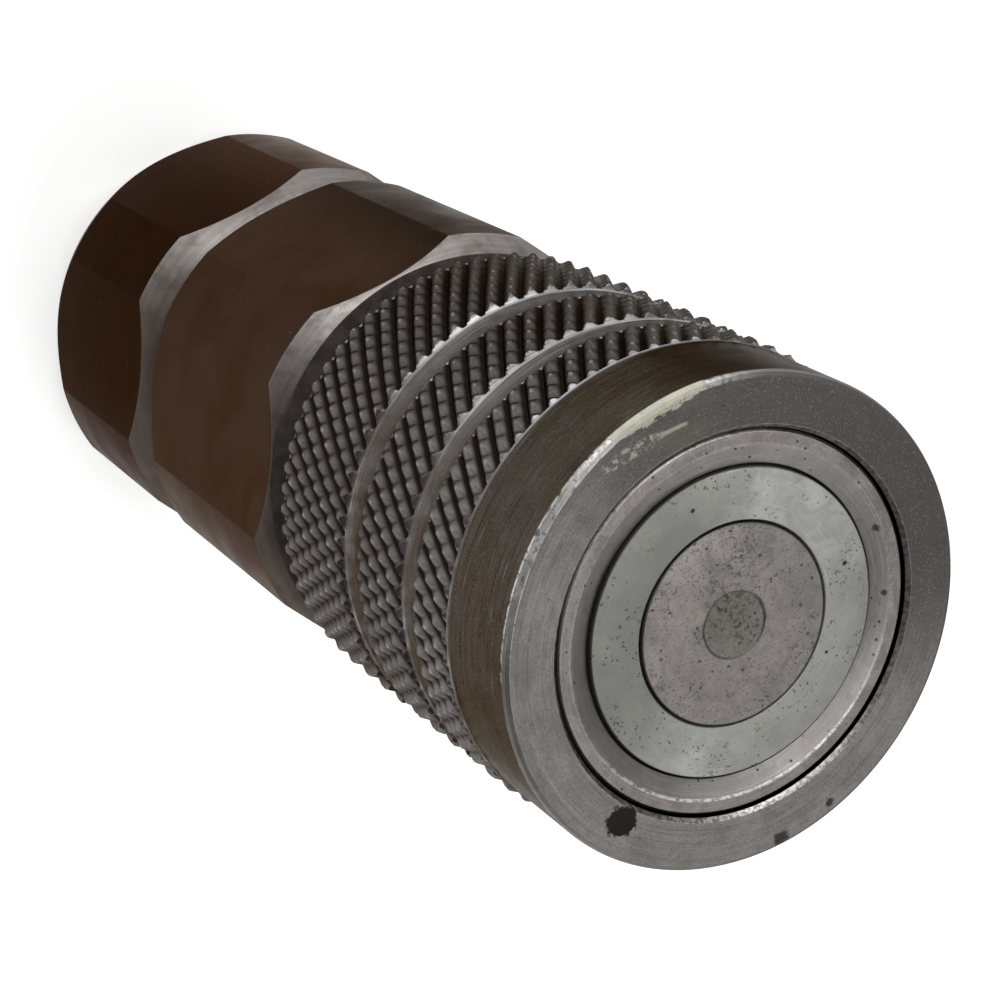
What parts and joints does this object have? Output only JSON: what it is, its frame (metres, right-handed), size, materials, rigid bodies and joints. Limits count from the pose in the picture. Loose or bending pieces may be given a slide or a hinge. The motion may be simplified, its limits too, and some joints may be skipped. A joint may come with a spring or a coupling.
{
  "type": "flat-face hydraulic quick disconnect coupler, female half",
  "caption": "Flat-face hydraulic quick coupler, female half: knurled locking sleeve, spring-loaded shut-off sleeve round a fixed stem, hex body and hex port adapter.",
  "frame": {"origin": "centre of the rear port face, at the base of the bounding box", "axes": "+Z along the coupler axis, from the rear port face towards the front mating face; hex corners on +X and -X, hex flats on +Y and -Y"},
  "size_m": [0.0404, 0.04, 0.0999],
  "materials": {
    "body_steel": "dark brown-grey phosphated steel, satin, smudged",
    "sleeve_steel": "dark plated steel, knurled, scratched",
    "shutoff_zinc": "pale zinc-plated steel, matt",
    "stem_steel": "grey steel, finely pitted",
    "spring_steel": "drawn spring wire",
    "hardened_steel": "polished hardened steel",
    "plain_steel": "turned steel",
    "seal_rubber": "black nitrile",
    "backup_plastic": "off-white filled fluoropolymer"
  },
  "bodies": {
    "coupler_body": {"front_body": "body_steel", "port_adapter": "body_steel", "locking_balls": "hardened_steel", "sleeve_spring_seat": "plain_steel", "sleeve_spring": "spring_steel", "shutoff_spring_seat": "plain_steel", "shutoff_spring": "spring_steel", "valve_stem": "stem_steel", "stem_holder": "plain_steel", "stem_lock_washer": "spring_steel", "stem_nut": "plain_steel", "probe_oring": "seal_rubber", "probe_backup_ring": "backup_plastic", "stem_seal": "seal_rubber", "adapter_oring": "seal_rubber", "adapter_backup_ring": "backup_plastic"},
    "sleeve_carrier": {"sleeve_thrust_washer": "plain_steel"},
    "sleeve": {"locking_sleeve": "sleeve_steel", "sleeve_stop_ring": "spring_steel"},
    "shutoff": {"shutoff_sleeve": "shutoff_zinc"}
  },
  "joints": [
    {"name": "sleeve_slide", "type": "slide", "parent": "coupler_body", "child": "sleeve_carrier", "axis": [0, 0, 1], "range_m": [-0.0034, 0], "stiffness_N_per_m": 3500, "springref_m": 0.012, "deforming": ["sleeve_spring"]},
    {"name": "sleeve_spin", "type": "hinge", "parent": "sleeve_carrier", "child": "sleeve", "pos_m": [0, 0, 0.08], "axis": [0, 0, 1], "continuous": true},
    {"name": "shutoff_slide", "type": "slide", "parent": "coupler_body", "child": "shutoff", "axis": [0, 0, 1], "range_m": [-0.014, 0], "stiffness_N_per_m": 2500, "springref_m": 0.01, "deforming": ["shutoff_spring"]}
  ]
}
